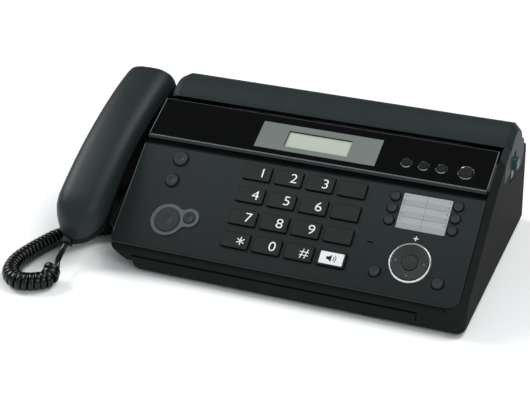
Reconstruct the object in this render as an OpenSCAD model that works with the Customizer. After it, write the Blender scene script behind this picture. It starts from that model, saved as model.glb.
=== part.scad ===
// Desktop fax machine with a corded handset in a cradle at its left side.
// Millimetres. +X is right, +Y is back, +Z is up, and the feet stand on z = 0.
// Outlines are drawn in side view as [y, z], with y = 0 at the panel's front edge.

/* [Overall] */
// Width from the handset's outer side to the right wall
machine_w = 353; // [350:1:362]
// Depth from the handset's nose to the rear wall's foot
machine_d = 215; // [214.6:0.2:219]
// Gap between the handset and the housing's left wall
cradle_gap = 5.9; // [5.4:0.1:7]
// Height of the feet under the floor
foot_h = 3.9; // [3:0.1:6]
// Radius of a foot
foot_r = 8; // [6:0.5:10]

/* [Housing] */
// Thickness of the front, rear and left walls
wall = 3; // [2.6:0.1:3.4]
// Thickness of the right wall beside the panel
right_wall = 5.4; // [5.2:0.1:6.4]
// Gap at the seams between covers and housing
seam = 0.5; // [0.4:0.1:0.8]
// Height of the panel's front edge above the table
panel_front_z = 24.2; // [24:0.2:27]
// Slope of the control panel
panel_slope = 37.15; // [36.5:0.05:37.5]
// Length of the control panel up its slope
panel_len = 94.6; // [94:0.2:96]
// Slope of the display window
display_slope = 24.2; // [23.5:0.1:25]
// Length of the display window up its slope
display_len = 41; // [40:0.5:42]
// How far the display's lower edge stands behind the panel's upper edge
display_run = 6.2; // [6:0.1:7]
// How far the display's lower edge stands above the panel's upper edge
display_rise = 5.7; // [5.4:0.1:6.2]
// Lean of the front wall, as the reach of its foot in front of the panel's edge
front_reach = 4.8; // [4:0.2:6]
// Radius of the right front corner
corner_r = 11.5; // [8:0.5:14]
// Width of the chamfer along the right wall's upper edge
chamfer = 5; // [4:0.2:5.2]
// Height of the document exit slot in the front wall
exit_h = 1.7; // [1.4:0.1:2.2]
// Height of the plinth that stands back under the front wall
plinth_h = 5.6; // [4:0.2:7]
// Radius of the panel's right front corner
panel_corner_r = 9; // [7:0.5:10]
// Room between the left wall's outer face and the rib beside the paper
idle_room = 32; // [30:0.5:34]
// Room between the right rib and the right wall, for gears and motor
drive_room = 27.1; // [26.6:0.1:29]

/* [Top cover] */
// Outer radius of the barrel-shaped top cover
cover_r = 30; // [29.6:0.1:30.4]
// Thickness of the top cover
cover_t = 2.6; // [2.2:0.1:3]
// How far the cover's left end stands out over the left wall
cover_overhang = 3.3; // [2.4:0.1:3.6]
// Gap between the display's rear edge and the top cover
slot_gap = 7.8; // [7.2:0.1:8.4]
// Radius of the round ends of the cover's cheeks, about the hinge
cheek_r = 13.4; // [13:0.1:13.8]
// Radius of the cover's hinge pins
hinge_r = 3; // [2.5:0.1:3.4]
// Clearance round a pin or shaft
fit = 0.05; // [0.03:0.01:0.08]

/* [Keys] */
// Width of a dial key
key_w = 22.5; // [20:0.5:24]
// Length of a dial key
key_l = 13; // [11:0.5:15]
// Spacing of the dial keys across the panel
key_pitch_u = 27.28; // [26.5:0.1:28]
// Spacing of the dial keys up the panel
key_pitch_v = 20.64; // [19.5:0.1:21]
// How far a key stands proud of the panel
key_proud = 1.8; // [1.4:0.1:2.4]
// How far a key travels
key_travel = 1; // [0.6:0.1:1.1]
// Gap round a key
key_gap = 0.3; // [0.25:0.05:0.4]

/* [Rollers] */
// Radius of the platen roller
platen_r = 8; // [7:0.2:8.2]
// Radius of the document feed roller
feed_r = 7; // [6:0.2:7.6]
// Radius of a roller's shaft
shaft_r = 3; // [2.4:0.1:3.4]
// Outer radius of the paper roll
roll_r = 22; // [18:0.5:22.5]
// Room between each end of the paper roll and the rib beside it
roll_play = 6.5; // [5:0.5:9]
// Radius of the paper roll's core
core_r = 8; // [6:0.5:12]
// Number of teeth on each gear of the roller train
train_teeth = 20; // [18:2:22]
// Width of the gears
gear_w = 6; // [4:0.5:6.5]

/* [Handset] */
// Width of the handset
handset_w = 45.6; // [44:0.2:46]
// Length of the handset along its chord
handset_len = 178; // [174:0.5:179]
// Slope of the handset in its cradle
handset_slope = 23.4; // [23:0.1:24]
// Rise of the handset's arch above its chord
handset_arch = 9.5; // [8:0.1:10.5]
// Reach of the handset's crown in front of the panel's edge
handset_nose = 12.6; // [12:0.1:13.4]
// Height of the crown's front end above the table
handset_front_z = 49; // [48.5:0.1:50]
// Width of the hook switch plunger
hook_w = 9; // [6:0.5:12]

/* [Cord] */
// Outer diameter of the curly cord's coil
coil_d = 15.6; // [15:0.2:15.6]
// Thickness of the cord's straight leads
lead_d = 4.6; // [4:0.1:5]

/* [Hidden] */
$fn = 48;
eps = 0.01;
far = 400;

// Places across the machine
right_x = machine_w / 2;
left_x = handset_w + cradle_gap - right_x;
body_mid = (left_x + right_x) / 2;
wall_in = right_x - right_wall;
panel_right = wall_in - seam - 0.1;
nose_reach = 10.3;
front_y = nose_reach - machine_d / 2;
rear_foot = machine_d - nose_reach;
tray_left = left_x + wall;
rib_t = 4;
rib_left = left_x + idle_room;
rib_right = wall_in - drive_room - rib_t;
roll_ends = [rib_left + rib_t + roll_play, rib_right - roll_play];
exit_ends = [left_x + 21, rib_right - 0.5];
exit_z = 14.4;
cover_left = left_x - cover_overhang;

// A point on the panel's plane: v up the slope and h above it
function on_panel(v, h) = [
    v * cos(panel_slope) - h * sin(panel_slope),
    panel_front_z + v * sin(panel_slope) + h * cos(panel_slope)
];
panel_top = on_panel(panel_len, 0);
display_foot = panel_top + [display_run, display_rise];

// A point on the display's plane: w up the slope and h above it
function on_display(w, h) = display_foot + [
    w * cos(display_slope) - h * sin(display_slope),
    w * sin(display_slope) + h * cos(display_slope)
];
display_back = on_display(display_len, 0);

// Where the planes of panel and display cross
plane_cross_v = (display_rise - display_run * tan(display_slope))
    / (sin(panel_slope) - cos(panel_slope) * tan(display_slope));
plane_cross = on_panel(panel_len + plane_cross_v, 0);

// Top cover: its barrel's centre, its front edge and its hinge
cover_edge_a = 138.6;
cover_front = display_back[0] + slot_gap;
barrel = [cover_front - cover_r * cos(cover_edge_a), 84.1];
cover_rear_a = 15;
hinge = barrel + [21.3, -4.1];
hinge_clear = cheek_r + 1.4;

// Rollers and the gear train between them
platen = barrel + [-15.7, -0.1];
feed = platen + [-35, -18];
pinion = (platen + feed) / 2;
train_step = norm(platen - feed) / 2;
train_a = atan2(feed[1] - platen[1], feed[0] - platen[0]);
gear_module = train_step / train_teeth;
gear_x = rib_right + rib_t + 2.2;
motor_end = wall_in - 4.6;
MOTOR_EARS = [-20, 200];
roll = barrel + [9.3, -22.1];
shelf_z = feed[1] - feed_r - 2;

// Front cover: depths of its skirt and box below the panel, and its hinge
skin = 2.4;
lip = 3;
box_depth = 13;
ledge_h = -3;
ledge_t = 3;
ledge_len = 30;
panel_hinge = display_back + [-11.5, -16.2];
panel_pin_r = 2.2;
arm_r = 3.6;
board_h = -8.5;
board_t = 1.6;

// Keys: the flange that holds a key under the panel, and the end of its stem
flange_h = -skin - 0.1;
flange_t = 0.9;
stem_end = board_h + board_t + 0.2;

// Lever that releases the top cover
lever_pivot = [barrel[0] - 4, 91];

// Block of sockets in the rear wall
jack_w = 74;
jack_l = 22;
jack_at = [right_x - 66, rear_foot - 4.2, 22];

// Handset frame: s along the chord, t above it, over the cradle's middle
handset_x = handset_w / 2 - right_x;
shell_rings = 26;
shell_sides = 16;

// Places of mouthpiece and earpiece along the handset
mouth_at = 27;
ear_at = handset_len - 28;

// Reach of the cradle and of its two pockets along the handset
cradle_s = [15, handset_len - 2];
mouth_end = mouth_at + 27;
ear_start = ear_at - 30;

// Hook switch plunger: its place and length along the handset
hook_s = handset_len - 69.7;
hook_l = 4;

// Coil and leads of the handset cord, as points [x, y, z] on the table
coil_z = coil_d / 2;
COIL_ROUTE = [
    [-139, -39, coil_z], [-152, -50, coil_z], [-164, -60, coil_z], [-175, -71, coil_z],
    [-183, -84, coil_z], [-188, -99, coil_z], [-192, -115, coil_z], [-194, -131, coil_z],
    [-190, -147, coil_z], [-180, -156, coil_z], [-168, -155, coil_z], [-157, -146, coil_z]
];
HANDSET_LEAD_ROUTE = [
    [-158, -145.5, 9], [-157.5, -138, 10.5], [-158, -128, 12.5], [-160, -117, 15],
    [-160, -107.4, 19.1]
];
BODY_LEAD_ROUTE = [
    [-139, -39, 8], [-135, -36, 9], [-132, -33, 15], [-130, -31, 21], [-125, -30, 24]
];

// Buttons on the panel: name, u, v, radius
ROUND_KEYS = [
    ["caller_id_button", left_x + 36.5, panel_len - 10.7, 6.25],
    ["stop_button", left_x + 35.3, panel_len - 31.4, 5.5],
    ["start_button", left_x + 43.3, 27.7, 10.7],
    ["copy_button", left_x + 61.5, 32.6, 5],
    ["one_touch_1", right_x - 77.4, panel_len - 10.1, 3.8],
    ["one_touch_2", right_x - 77.4, panel_len - 20.8, 3.8],
    ["one_touch_3", right_x - 77.4, panel_len - 31.4, 3.8],
    ["one_touch_4", right_x - 26, panel_len - 10.1, 3.8],
    ["one_touch_5", right_x - 26, panel_len - 20.8, 3.8],
    ["one_touch_6", right_x - 26, panel_len - 31.4, 3.8],
    ["broadcast_button", right_x - 77.1, 18.1, 4.4],
    ["menu_button", right_x - 26.3, 17.8, 4.4]
];

// Rows and columns of the rectangular keys, from the upper left one
DIAL_NAMES = [
    ["key_1", "key_2", "key_3", "flash_key"],
    ["key_4", "key_5", "key_6", "redial_key"],
    ["key_7", "key_8", "key_9", "mute_key"],
    ["key_star", "key_0", "key_hash", "speakerphone_key"]
];
dial_u = body_mid - 44.15;
dial_v = panel_len - 11.7;
DIAL_KEYS = [for (row = [0:3]) for (column = [0:3]) [
    DIAL_NAMES[row][column],
    dial_u + column * key_pitch_u,
    dial_v - row * key_pitch_v
]];

// Buttons on the display window: name, u, w, radius
DISPLAY_KEYS = [
    ["display_button_1", right_x - 77.3, 13.5, 3.7],
    ["display_button_2", right_x - 62.6, 13.1, 3.7],
    ["display_button_3", right_x - 48, 13.2, 3.7],
    ["auto_answer_button", right_x - 28, 13.3, 5.5]
];

// Navigator: centre on the panel and its radii
nav = [right_x - 51.6, 30.4];
nav_r = 15;
nav_trim_r = 17;
set_r = 6.4;

// Microphone slot, and the recess for the directory card
mic_at = [(dial_u + 3 * key_pitch_u + nav[0]) / 2 - 4.87, 41.7];
card_at = [nav[0] + 0.35, panel_len - 21];

// Display: its visible glass, as [u0, u1, w0, w1]
lcd_view = [body_mid - 31.45, body_mid + 23.95, 9.4, 26.7];
display_u = [left_x + 0.6, panel_right - 1.3];

// ---------------------------------------------------------------- helpers

// Extrudes a side view [y, z] from x0 to x1
module along_x(x0, x1) {
    translate([x0, front_y, 0]) rotate([90, 0, 90]) linear_extrude(x1 - x0) children();
}

// A rod along X from x0 to x1, about a point of the side view
module rod(x0, x1, c, r) {
    translate([x0, front_y + c[0], c[1]]) rotate([0, 90, 0]) cylinder(h = x1 - x0, r = r);
}

// Puts something in the panel's frame: X across, Y up the slope, Z off the panel
module panel_frame() {
    translate([0, front_y, panel_front_z]) rotate([panel_slope, 0, 0]) children();
}

module display_frame() {
    translate([0, front_y + display_foot[0], display_foot[1]])
        rotate([display_slope, 0, 0]) children();
}

// Handset frame: X across, Y along the chord, Z up from the crown's chord
module handset_frame() {
    translate([handset_x, front_y - handset_nose, handset_front_z])
        rotate([handset_slope, 0, 0]) children();
}

// Rectangle about the origin with round corners
module pad(w, l, r) {
    square([w - 2 * r, l], center = true);
    square([w, l - 2 * r], center = true);
    for (x = [-1, 1], y = [-1, 1]) translate([x * (w / 2 - r), y * (l / 2 - r)]) circle(r);
}

// Upright bar of the panel's frame, between two heights
module bar(at, h0, h1) {
    translate([at[0], at[1], h0]) linear_extrude(h1 - h0) children();
}

// ---------------------------------------------------------------- outlines

// Line along which the front cover rests over the left wall
function wall_line(gap) = [
    on_panel(-30, -lip - gap), on_panel(panel_len + 1.2 + gap, -lip - gap),
    on_display(-1.6, -7.4 - gap), on_display(0, ledge_h - ledge_t - gap)
];
wall_flat = [panel_hinge[0] - 2, display_foot[1]
    + (panel_hinge[0] - 2 - display_foot[0]) * tan(display_slope)
    + (ledge_h - ledge_t) / cos(display_slope) - seam];

// Place of the leaning front wall at a height above the housing's foot
plinth_in = 1.6;
function front_line(h) = front_reach * (h / (panel_front_z - foot_h) - 1);

// Whole side outline up to the planes of panel and display
module side_outline() {
    polygon([
        [front_line(plinth_h) + plinth_in, foot_h],
        [front_line(plinth_h), foot_h + plinth_h],
        on_panel(0, 0),
        plane_cross,
        [hinge[0] + hinge_clear + 1, display_foot[1] + (hinge[0] + hinge_clear + 1
            - display_foot[0]) * tan(display_slope)],
        [rear_foot - 12.7, hinge[1] - 1],
        [rear_foot - 10.7, hinge[1] - 5.4],
        [rear_foot, foot_h]
    ]);
}

// Side view of the part above the seam, which lifts with the top cover
module cover_zone(gap) {
    polygon([
        [display_back[0] - 7 - gap, 78.5 - gap],
        [display_back[0] - 7 - gap, far],
        [far, far],
        [far, hinge[1]],
        hinge,
        [barrel[0] + 6, 84.5 - gap],
        [barrel[0] - 14, 80 - gap]
    ]);
    translate(hinge) circle(cheek_r + gap);
}

// Side view of a cheek at an end of the top cover
module cheek_outline() {
    intersection() {
        union() {
            translate(barrel) circle(cover_r);
            polygon([
                [display_back[0] - 7, 70],
                [display_back[0] - 7, display_back[1] - 7 * tan(display_slope)],
                display_back,
                barrel + cover_r * [cos(cover_edge_a), sin(cover_edge_a)],
                barrel
            ]);
            translate(hinge) circle(cheek_r);
        }
        cover_zone(0);
    }
}

// Half-spaces that cut the chamfer along the right wall's upper edge
module wall_chamfer() {
    for (plane = [[panel_slope, 0, panel_front_z],
                  [display_slope, display_foot[0], display_foot[1]]])
        translate([wall_in, front_y + plane[1], plane[2]]) rotate([plane[0], 0, 0])
            rotate([0, atan2(chamfer, right_wall), 0])
                translate([-20, -far, 0]) cube([60, 2 * far, 60]);
}

// Cuts the rounded front corners, along the lean of the front wall
module front_corner(x, side, r) {
    lean = atan2(front_reach, panel_front_z - foot_h);
    translate([x, front_y - front_reach, foot_h]) rotate([-lean, 0, 0])
        difference() {
            translate([side > 0 ? -r : -10, -10, -20]) cube([r + 10, r + 10, 70]);
            translate([-side * r, r, -21]) cylinder(h = 72, r = r);
        }
}

module front_corners() {
    front_corner(right_x, 1, corner_r);
    front_corner(left_x, -1, corner_r / 2);
}

// Front view of what the left wall's foot leaves free
module left_foot_cut() {
    foot_x = left_x + 27.5;
    translate([0, far / 2, 0]) rotate([90, 0, 0]) linear_extrude(far)
        polygon([
            [left_x - 2, -1], [left_x - 2, 21], [left_x, 20.6], [left_x + 6, 17],
            [left_x + 13, 13], [left_x + 17, 11.4], [left_x + 22, 11.2],
            [left_x + 24, 5.7], [foot_x, foot_h], [foot_x, -1]
        ]);
}

// ---------------------------------------------------------------- housing

// Side view of the bay that holds the front cover, the rollers and the roll
module bay_outline() {
    polygon([
        [wall + 0.2, far],
        [wall + 0.2, panel_front_z - lip - seam],
        on_panel(20, -box_depth - 1.2),
        on_panel(panel_len, -box_depth - 1.2),
        [feed[0] - feed_r - 3, shelf_z],
        [roll[0] + 4, shelf_z],
        [hinge[0] + hinge_clear, hinge[1] - 16],
        [hinge[0] + hinge_clear, far]
    ]);
}

// Side view of the document path under the front cover, out to the exit slot
module path_outline() {
    polygon([
        [-20, exit_z],
        [wall + 2, exit_z],
        on_panel(23, -box_depth - 3.4),
        on_panel(panel_len + 3, -box_depth - 3.4),
        on_panel(panel_len + 3, -box_depth),
        on_panel(16, -box_depth + 2),
        [wall + 2, exit_z + exit_h],
        [-20, exit_z + exit_h]
    ]);
}

// Groove that runs down from the exit slot's right end
module exit_groove() {
    groove = 1.2;
    along_x(exit_ends[1] - groove, exit_ends[1])
        translate([-20, foot_h + plinth_h - 0.5]) square([20 - groove, exit_z - foot_h - plinth_h + 1]);
}

// Block in the panel's right front corner, outside a radius and between two heights
module panel_corner(r, h0, h1, short) {
    past = 0.25;
    corner = [panel_right - panel_corner_r + past, panel_corner_r - past];
    panel_frame() bar([0, 0], h0, h1) difference() {
        translate([corner[0], -30]) square([30, corner[1] + 30 - short]);
        translate(corner) circle(r);
    }
}

// Side view of a rib that carries the rollers' bearings
module rib_outline() {
    polygon([
        [feed[0] - 12, shelf_z - 1],
        [feed[0] - 9, feed[1] + 4],
        [feed[0], feed[1] + 7],
        [feed[0] + 12, feed[1] + 7],
        [platen[0] - 12, platen[1] - 5],
        [platen[0] - 5, platen[1] + 7],
        [platen[0] + 6, platen[1] + 7],
        [platen[0] + 14, shelf_z - 1]
    ]);
}

// Side view of the bracket under the top cover's hinge
module bracket_outline() {
    translate(hinge) circle(8.6);
    polygon([
        hinge + [-8.6, 0], hinge + [8.6, 0],
        [hinge[0] + 2, shelf_z - 4], [hinge[0] - 14, shelf_z - 4]
    ]);
}

// Row of slots for air in the rear wall
module air_slots() {
    for (i = [0:11]) translate([left_x + 60 + i * 9, front_y + rear_foot - 12, 44])
        cube([4, 24, 18]);
}

module base_housing() {
    color([0.21, 0.22, 0.21]) difference() {
        union() {
            difference() {
                along_x(left_x, right_x) side_outline();
                along_x(tray_left, wall_in) bay_outline();
                along_x(exit_ends[0], exit_ends[1]) path_outline();
                exit_groove();
                along_x(left_x - 1, wall_in)
                    polygon(concat(wall_line(seam), [
                        wall_flat, [display_back[0] - 7, wall_flat[1]],
                        [display_back[0] - 7, far], [-30, far]
                    ]));
                along_x(left_x - 1, right_x + 1) cover_zone(seam);
                rod(rib_left + 3, rib_right - 3, roll, roll_r + 0.7);
                along_x(rib_left + 3, rib_right - 3)
                    translate([roll[0] - roll_r - 0.7, roll[1]]) square([2 * roll_r + 1.4, far]);
                panel_frame() translate([rib_left + 7, 53.7, -box_depth - 14])
                    cube([rib_right - rib_left - 14, 12.6, 20]);
                hollow();
                left_foot_cut();
            }
            intersection() {
                panel_corner(panel_corner_r + seam, -lip - 2, -0.2, 3.5);
                along_x(wall_in - 20, wall_in + 1) side_outline();
            }
            for (x = [rib_left, rib_right]) along_x(x, x + rib_t) rib_outline();
            for (x = [tray_left + 0.6, wall_in - 7]) along_x(x, x + 6.4) bracket_outline();
            for (a = MOTOR_EARS)
                rod(motor_end, wall_in + 1, pinion + 12.5 * [cos(a), sin(a)], 2.4);
        }
        wall_chamfer();
        front_corners();
        rod(rib_left - 1, rib_right + rib_t + 1, platen, shaft_r + fit);
        rod(rib_left - 1, rib_right + rib_t + 1, feed, shaft_r + fit);
        rod(tray_left - eps, tray_left + 8, hinge, hinge_r + fit);
        rod(wall_in - 8, wall_in + eps, hinge, hinge_r + fit);
        rod(left_x - 1, tray_left + 1, panel_hinge, panel_pin_r + fit);
        rod(wall_in - 1, wall_in + 3, panel_hinge, panel_pin_r + fit);
        lever_recess();
        jack_pocket(0);
        air_slots();
        cord_jack(0.2, 13);
    }
}

// Space inside the floor, open into the bay beside the gears
module hollow() {
    along_x(left_x + 40, wall_in - wall) polygon([
        [14, foot_h + wall],
        [rear_foot - 2 * wall, foot_h + wall],
        [rear_foot - 2 * wall - 4, roll[1] - roll_r - 4],
        on_panel(panel_len - 20, -box_depth - 17)
    ]);
    along_x(rib_right + rib_t, wall_in) translate([feed[0] - 18, foot_h + 20])
        square([50, 50]);
}

module lever_recess() {
    translate([right_x - 3, front_y + barrel[0] - 15.5, 69])
        cube([4, 16.5, 24]);
}

// Plug of the handset cord in the left wall's jack
module cord_jack(gap, deep) {
    translate([left_x - 2, -30 - 4.2 - gap, 24 - 3 - gap])
        cube([deep + 2, 8.4 + 2 * gap, 6 + 2 * gap]);
}

module rubber_feet() {
    color([0.07, 0.07, 0.07])
        for (x = [left_x + 42, right_x - 22], y = [14, rear_foot - 16])
            translate([x, front_y + y, 0]) cylinder(h = foot_h, r = foot_r);
}

// Block with two phone jacks and a two-pin mains inlet in the rear wall
module jack_pocket(gap) {
    translate([jack_at[0] - jack_w / 2 - gap, front_y + jack_at[1] - 14, jack_at[2] - jack_l / 2])
        cube([jack_w + 2 * gap, 30, jack_l]);
}

module rear_jacks() {
    color([0.12, 0.12, 0.12]) difference() {
        translate([jack_at[0] - jack_w / 2, front_y + jack_at[1] - 14, jack_at[2] - jack_l / 2])
            cube([jack_w, 14, jack_l]);
        for (x = [-25, -7]) translate([jack_at[0] + x - 5, front_y + jack_at[1] - 10, jack_at[2] - 5])
            cube([10, 11, 8]);
        translate([jack_at[0] + 20, front_y + jack_at[1] - 10, jack_at[2]])
            rotate([-90, 0, 0]) linear_extrude(11) pad(19, 9.6, 4.7);
    }
}

// ---------------------------------------------------------------- cradle

// Tray beside the housing; its floor follows the handset's underside
module cradle_side(top) {
    polygon([
        [cradle_s[0] + 4, -38.5], [cradle_s[0], -34], [cradle_s[0] - 2, top],
        [cradle_s[1], top], [cradle_s[1], -32], [cradle_s[1] - 8, -38.5]
    ]);
}

module cradle_slab(x0, x1) {
    translate([x0, 0, 0]) rotate([90, 0, 90]) linear_extrude(x1 - x0) children();
}

module handset_cradle() {
    cradle_out = -17.5;
    cradle_in = left_x - handset_x;
    color([0.09, 0.09, 0.09]) difference() {
        handset_frame() difference() {
            cradle_slab(cradle_out, cradle_in) cradle_side(-18);
            cradle_slab(cradle_out + 2.5, cradle_in - 2) polygon([
                [-30, -34.4], [mouth_end, -34.4], [mouth_end + 4, -22],
                [ear_start - 4, -22], [ear_start, -28.4], [cradle_s[1] - 2, -28.4],
                [cradle_s[1] - 2, 0], [-30, 0]
            ]);
            cradle_slab(cradle_out - 1, cradle_in - 2) polygon([
                [-30, -31], [mouth_at + 3, -31], [mouth_end + 4, -22], [ear_start + 14, -22],
                [ear_start + 22, -26.2], [cradle_s[1] + 2, -26.2], [cradle_s[1] + 2, 0], [-30, 0]
            ]);
            for (i = [0:13]) translate([cradle_in - 2.7, 40 + i * 8, -30]) cube([1, 4, 40]);
            translate([-hook_w / 2 - key_gap, hook_s - key_gap, -60])
                cube([hook_w + 2 * key_gap, hook_l + 2 * key_gap, 60]);
        }
        along_x(cover_left - 2 * seam, left_x + 1) intersection() {
            cover_zone(seam);
            union() {
                translate(barrel) circle(cover_r - 4);
                translate(hinge) circle(cheek_r + seam);
            }
        }
    }
}

module hook_switch() {
    hook_top = part_t(hook_s + hook_l) - belly(hook_s + hook_l) - 0.25;
    color([0.12, 0.12, 0.12]) handset_frame() {
        translate([-hook_w / 2, hook_s, -37]) cube([hook_w, hook_l, 37 + hook_top]);
    }
}

// ---------------------------------------------------------------- handset

function bump(u) = abs(u) < 1 ? pow(1 - u * u, 2) : 0;
function round_end(s, r) = s < r ? sqrt(max(0.02, 1 - pow(1 - s / r, 2))) : 1;
function ends(s, front, rear) = round_end(s, front) * round_end(handset_len - s, rear);
function arch(s) = handset_arch * (1 - pow(2 * s / handset_len - 1, 2));
function half_w(s) = handset_w / 2 * ends(s, handset_w / 2, 7)
    * (1 - 0.035 * bump((s / handset_len - 0.5) * 2.4));
function part_depth(s) = 15 + (s < handset_len / 2 ? 9.4 : 4.5) * pow(2 * s / handset_len - 1, 2);
function part_t(s) = arch(s) - part_depth(s);
function crown_h(s) = part_depth(s) * (0.35 + 0.65 * ends(s, 22, 8));
function belly(s) = (7.5 + 8 * bump((s - mouth_at) / 32) + 6.5 * bump((s - ear_at) / 28))
    * (0.6 + 0.4 * ends(s, 12, 14));
function tilt(s) = 0.25 * max(0, 1 - s / 60);

function station(i) = handset_len * (1 - cos(180 * i / shell_rings)) / 2;

// Half a superellipse over the parting line: side is 1 for the crown, -1 for the belly
function shell_point(s, a, side) = let(
    square_up = side > 0 ? 0.72 : 0.62,
    h = side > 0 ? crown_h(s) : belly(s),
    t = part_t(s) + side * h * pow(sin(a), square_up)
) [
    half_w(s) * (cos(a) < 0 ? -1 : 1) * pow(abs(cos(a)), square_up),
    s + tilt(s) * t,
    t
];

module shell_loft(side) {
    n = shell_sides + 1;
    points = [for (i = [0:shell_rings]) for (j = [0:shell_sides])
        shell_point(station(i), side > 0 ? 180 * j / shell_sides : 180 - 180 * j / shell_sides,
            side)];
    last = shell_rings * n;
    faces = concat(
        [[for (j = [shell_sides:-1:0]) j]],
        [[for (j = [0:shell_sides]) last + j]],
        [for (i = [0:shell_rings - 1]) for (j = [0:shell_sides]) let(k = (j + 1) % n)
            [i * n + j, i * n + k, (i + 1) * n + k, (i + 1) * n + j]]
    );
    polyhedron(points = points, faces = faces, convexity = 6);
}

// Ring of small holes over the capsule behind the handset's inner face
module sound_holes(at) {
    low = part_t(at) - belly(at);
    for (i = [0:6])
        translate([i < 6 ? 5 * cos(60 * i) : 0, at + (i < 6 ? 5 * sin(60 * i) : 0)
            + tilt(at) * low, low - 4]) cylinder(h = 6.5, r = 0.9, $fn = 12);
}

module handset_outer_shell() {
    color([0.2, 0.22, 0.22]) handset_frame() shell_loft(1);
}

module handset_inner_shell() {
    color([0.16, 0.17, 0.17]) handset_frame() difference() {
        shell_loft(-1);
        plug_place(0.3);
        for (at = [ear_at, mouth_at - 1]) sound_holes(at);
    }
}

// Plug of the cord under the mouthpiece's nose
module plug_place(gap) {
    translate([-160 - handset_x - 4.2 - gap, -14, -31.4 - gap])
        cube([8.4 + 2 * gap, 20 + gap, 6 + 2 * gap]);
}

module handset_plug() {
    color([0.1, 0.1, 0.1]) handset_frame() intersection() {
        plug_place(0);
        translate([-20, -9.5, -40]) cube([40, 30, 30]);
    }
}

// ---------------------------------------------------------------- front cover

// Side view of the front cover with the ledge under the display window
module panel_outline() {
    nose = [1.2, 0.5];
    polygon([
        on_panel(0, -lip), on_panel(0, -nose[1] * 2), on_panel(nose[1], -nose[1] / 2),
        on_panel(nose[0] * 1.6, 0),
        on_panel(panel_len - 1.5, 0), on_panel(panel_len, -1),
        on_panel(panel_len + 1, -5), on_display(-1.4, -6.9), on_display(1.2, ledge_h),
        on_display(ledge_len, ledge_h), on_display(ledge_len, ledge_h - ledge_t),
        on_panel(panel_len + 6, -lip - 6), on_panel(panel_len - 2, -box_depth),
        on_panel(20, -box_depth), on_panel(4, -lip - 2), on_panel(1, -lip)
    ]);
}

module panel_hollow() {
    polygon([
        on_panel(7, -skin), on_panel(panel_len - 3, -skin), on_panel(panel_len - 3, -box_depth + 2),
        on_panel(20, -box_depth + 2), on_panel(12, -box_depth + 5.4)
    ]);
}

module round_hole(k, gap, h0, h1) {
    bar([k[1], k[2]], h0, h1) circle(k[3] + gap);
}

module front_cover() {
    color([0.24, 0.26, 0.26]) difference() {
        union() {
            difference() {
                along_x(left_x, panel_right) panel_outline();
                along_x(left_x - 1, tray_left + seam)
                    polygon(concat(wall_line(0), [on_display(60, ledge_h - ledge_t),
                                                  [200, 0], [-50, 0]]));
                along_x(left_x + wall + 2.4, panel_right - 2.4) panel_hollow();
            }
            for (x = [left_x + wall + 0.6, wall_in - 4.2]) along_x(x, x + 3.6) {
                translate(panel_hinge) circle(arm_r);
                polygon([panel_hinge + [-arm_r, 0], panel_hinge + [arm_r, 0],
                         on_display(ledge_len, ledge_h - 1), on_display(20, ledge_h - 1)]);
            }
            rod(left_x + 0.8, left_x + wall + 1, panel_hinge, panel_pin_r);
            rod(wall_in - 1, wall_in + 2.6, panel_hinge, panel_pin_r);
            for (u = [left_x + 20, dial_u - 26.6, mic_at[0] - 9.3, right_x - 16.5], v = [26, 72])
                panel_frame() bar([u, v], -box_depth + 1, board_h) circle(3);
        }
        panel_frame() {
            for (k = DIAL_KEYS) bar([k[1], k[2]], -skin - 1, 1)
                pad(key_w + 2 * key_gap, key_l + 2 * key_gap, 1.2);
            for (k = ROUND_KEYS) round_hole(k, key_gap, -skin - 1, 1);
            bar(nav, -skin - 1, 1) circle(nav_r + key_gap);
            bar(mic_at, -skin - 1, 1) pad(5, 1.2, 0.5);
            bar(card_at, -0.6, 1) pad(41, 32, 1.5);
        }
        display_frame() {
            for (k = DISPLAY_KEYS) round_hole(k, 1.9, -12, 1);
            translate([lcd_view[0] - 6.3, 5, -5.2]) cube([lcd_view[1] - lcd_view[0] + 12.6, 26, 8]);
        }
        panel_corner(panel_corner_r, -box_depth - 2, 20, 0);
        front_corners();
    }
}

module display_outline() {
    polygon([
        on_display(1.2, ledge_h), on_display(0, -4.8), on_display(-2.2, -4.9),
        on_display(-3.3, -3.6), on_display(-3.1, -1.9), on_display(-1.6, -0.5),
        on_display(0.4, 0), on_display(display_len - 0.6, 0), on_display(display_len, -0.6),
        on_display(display_len, ledge_h)
    ]);
}

module display_window() {
    color([0.03, 0.03, 0.03]) difference() {
        along_x(display_u[0], display_u[1]) display_outline();
        display_frame() {
            for (k = DISPLAY_KEYS) round_hole(k, key_gap, -8, 1);
            translate([lcd_view[0], lcd_view[2], -8])
                cube([lcd_view[1] - lcd_view[0], lcd_view[3] - lcd_view[2], 10]);
        }
    }
}

module lcd_module() {
    color([0.7, 0.73, 0.68]) display_frame() {
        translate([lcd_view[0] - 4.3, 6.5, -5.2]) cube([lcd_view[1] - lcd_view[0] + 8.6, 23, 2.1]);
        translate([lcd_view[0] + 0.2, lcd_view[2] + 0.2, -4])
            cube([lcd_view[1] - lcd_view[0] - 0.4, lcd_view[3] - lcd_view[2] - 0.4, 2.9]);
    }
}

module panel_board() {
    front_gap = 17;
    rear_gap = 5.6;
    color([0.1, 0.3, 0.18]) panel_frame() translate([left_x + 8, front_gap, board_h])
        cube([panel_right - left_x - 14, panel_len - front_gap - rear_gap, board_t]);
}

// Two circles, the second at a vector from the first, joined by a rounded waist
module waisted(v, r1, r2) {
    waist_r = 5;
    along = (pow(r1 + waist_r, 2) - pow(r2 + waist_r, 2) + v * v) / (2 * norm(v));
    aside = sqrt(pow(r1 + waist_r, 2) - along * along);
    rotate(atan2(v[1], v[0])) {
        circle(r1);
        translate([norm(v), 0]) circle(r2);
        difference() {
            polygon([[0, 0], [along, -aside], [norm(v), 0], [along, aside]]);
            for (y = [-aside, aside]) translate([along, y]) circle(waist_r);
        }
    }
}

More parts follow.
